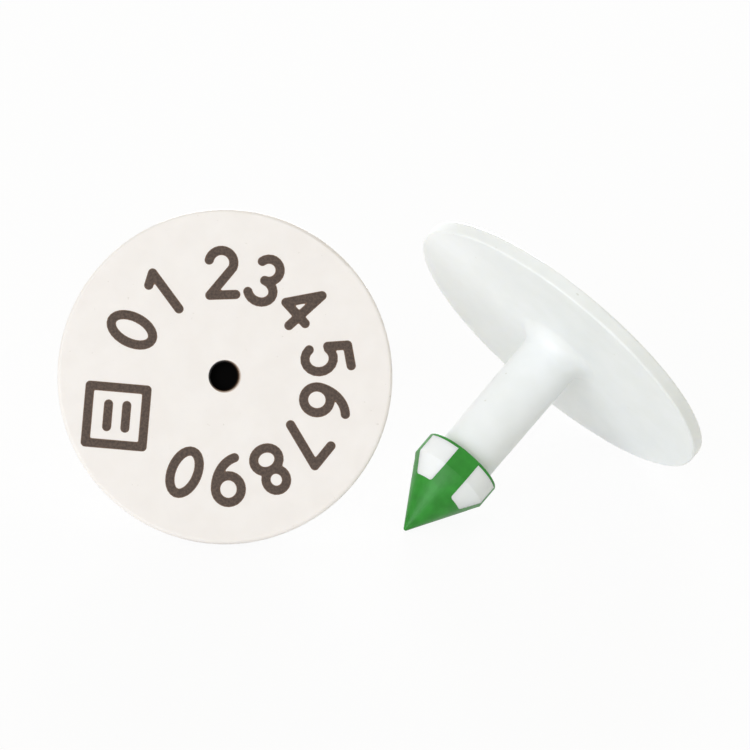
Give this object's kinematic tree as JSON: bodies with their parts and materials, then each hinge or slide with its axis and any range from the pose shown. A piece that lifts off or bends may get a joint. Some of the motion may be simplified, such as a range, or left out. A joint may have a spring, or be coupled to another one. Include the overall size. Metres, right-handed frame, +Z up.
{
  "type": "livestock ear tag",
  "caption": "Button ear tag for livestock, shown open: a flat disc with a socket behind it, and a disc with a hollow stem that ends in a hard, windowed point.",
  "frame": {"origin": "on the table both halves lie on, in the middle of their common box", "axes": "+Z up from the table, +X from the female button to the male button, -Y towards the side that both printed face and pointed tip are seen from"},
  "size_m": [0.0558, 0.0312, 0.0256],
  "materials": {
    "female_plastic": "warm white soft polyurethane, satin, with brown digits marked in a ring on its face",
    "male_plastic": "cool white soft polyurethane, satin, slightly translucent",
    "cup_plastic": "black hard plastic, dull",
    "marking": "dull mottled brown, as burned into the plastic",
    "tip_plastic": "green hard plastic with a low sheen"
  },
  "bodies": {
    "root": {"female_button": "female_plastic", "locking_cup": "cup_plastic", "male_button": "male_plastic", "piercing_tip": "tip_plastic"}
  },
  "joints": []
}
